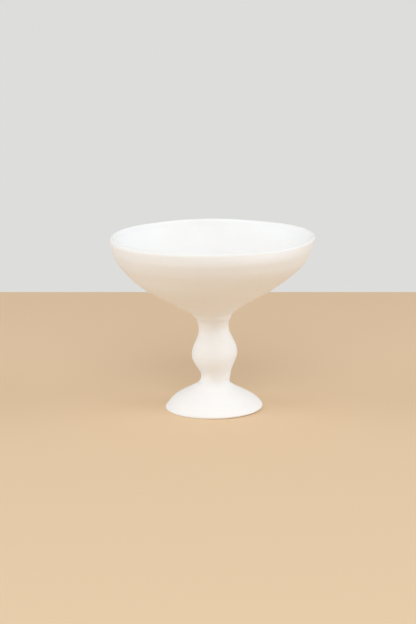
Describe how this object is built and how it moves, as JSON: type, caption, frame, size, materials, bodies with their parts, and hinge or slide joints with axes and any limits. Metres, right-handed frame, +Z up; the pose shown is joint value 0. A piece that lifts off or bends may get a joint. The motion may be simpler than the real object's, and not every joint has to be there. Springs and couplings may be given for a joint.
{
  "type": "footed compote bowl",
  "caption": "Wide round matte white bowl on a short baluster stem with a rounded knop and a domed round foot, softly irregular.",
  "frame": {"origin": "on the table under the middle line of the stem, foot and screw; the lip stands 1.3 mm to the -X side of it", "axes": "+Z up along the stem, +X to the right and +Y away from the camera as in the picture"},
  "size_m": [0.178, 0.178, 0.1545],
  "materials": {
    "bowl_resin": "matte, hand-sanded white cast resin",
    "insert_brass": "turned",
    "stem_resin": "matte, hand-sanded white cast resin",
    "foot_resin": "matte, hand-sanded white cast resin",
    "washer_steel": "stamped and zinc plated",
    "screw_steel": "zinc plated"
  },
  "bodies": {
    "root": {"bowl": "bowl_resin", "threaded_insert": "insert_brass", "stem": "stem_resin", "foot": "foot_resin", "washer": "washer_steel", "tie_screw": "screw_steel"}
  },
  "joints": []
}
